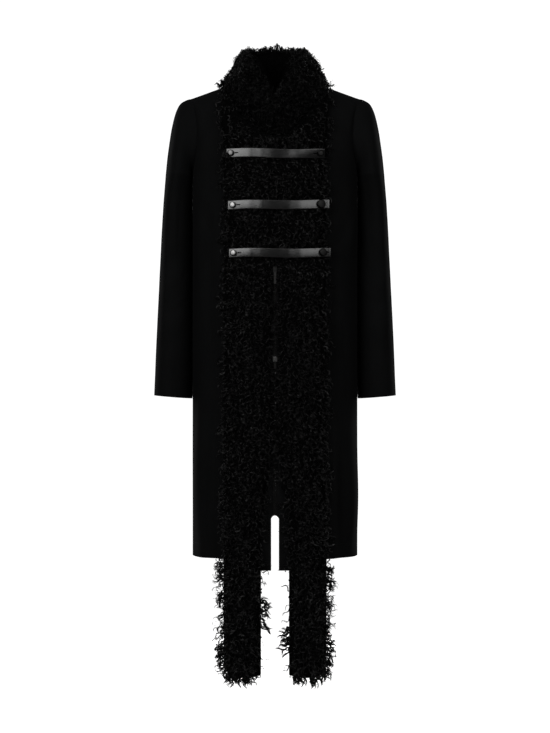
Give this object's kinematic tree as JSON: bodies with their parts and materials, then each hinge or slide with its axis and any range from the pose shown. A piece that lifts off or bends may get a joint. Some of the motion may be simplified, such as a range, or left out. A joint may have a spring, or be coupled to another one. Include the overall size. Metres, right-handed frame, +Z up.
{
  "type": "long coat",
  "caption": "Long dark wool coat with a curly fur stand collar, fur bands hanging past the hem, leather straps on studs and a two-way zip.",
  "frame": {"origin": "middle of the wearer's neck, level with the outer foot of the collar on the shoulder line, held at the mount wearer_neck", "axes": "+Z up, -Y towards the front, +X towards the wearer's left"},
  "size_m": [0.532, 0.288, 1.3807],
  "materials": {
    "wool": "matt brushed wool",
    "curly_fur": "long curly fur",
    "leather": "satin",
    "stud_metal": "polished gunmetal",
    "zip_tape": "woven tape",
    "zip_metal": "polished gunmetal"
  },
  "bodies": {
    "coat": {"back_left": "wool", "back_right": "wool", "front_left": "wool", "front_right": "wool", "sleeve_left": "wool", "sleeve_right": "wool", "fur_collar": "curly_fur", "fur_band_left": "curly_fur", "fur_band_right": "curly_fur", "strap_upper": "leather", "strap_middle": "leather", "strap_lower": "leather", "stud_upper_left": "stud_metal", "stud_upper_right": "stud_metal", "stud_middle_left": "stud_metal", "stud_middle_right": "stud_metal", "stud_lower_left": "stud_metal", "stud_lower_right": "stud_metal", "zip_tape_left": "zip_tape", "zip_tape_right": "zip_tape", "zip_slider_upper": "zip_metal", "zip_slider_lower": "zip_metal"},
    "upper_pull": {"zip_pull_upper": "zip_metal"},
    "lower_pull": {"zip_pull_lower": "zip_metal"}
  },
  "joints": [
    {"name": "upper_pull_swing", "type": "hinge", "parent": "coat", "child": "upper_pull", "pos_m": [0, -0.12911, -0.4025], "axis": [-1, 0, 0], "range_deg": [0, 140]},
    {"name": "lower_pull_swing", "type": "hinge", "parent": "coat", "child": "lower_pull", "pos_m": [0, -0.13184, -0.5945], "axis": [-1, 0, 0], "range_deg": [0, 140]}
  ]
}
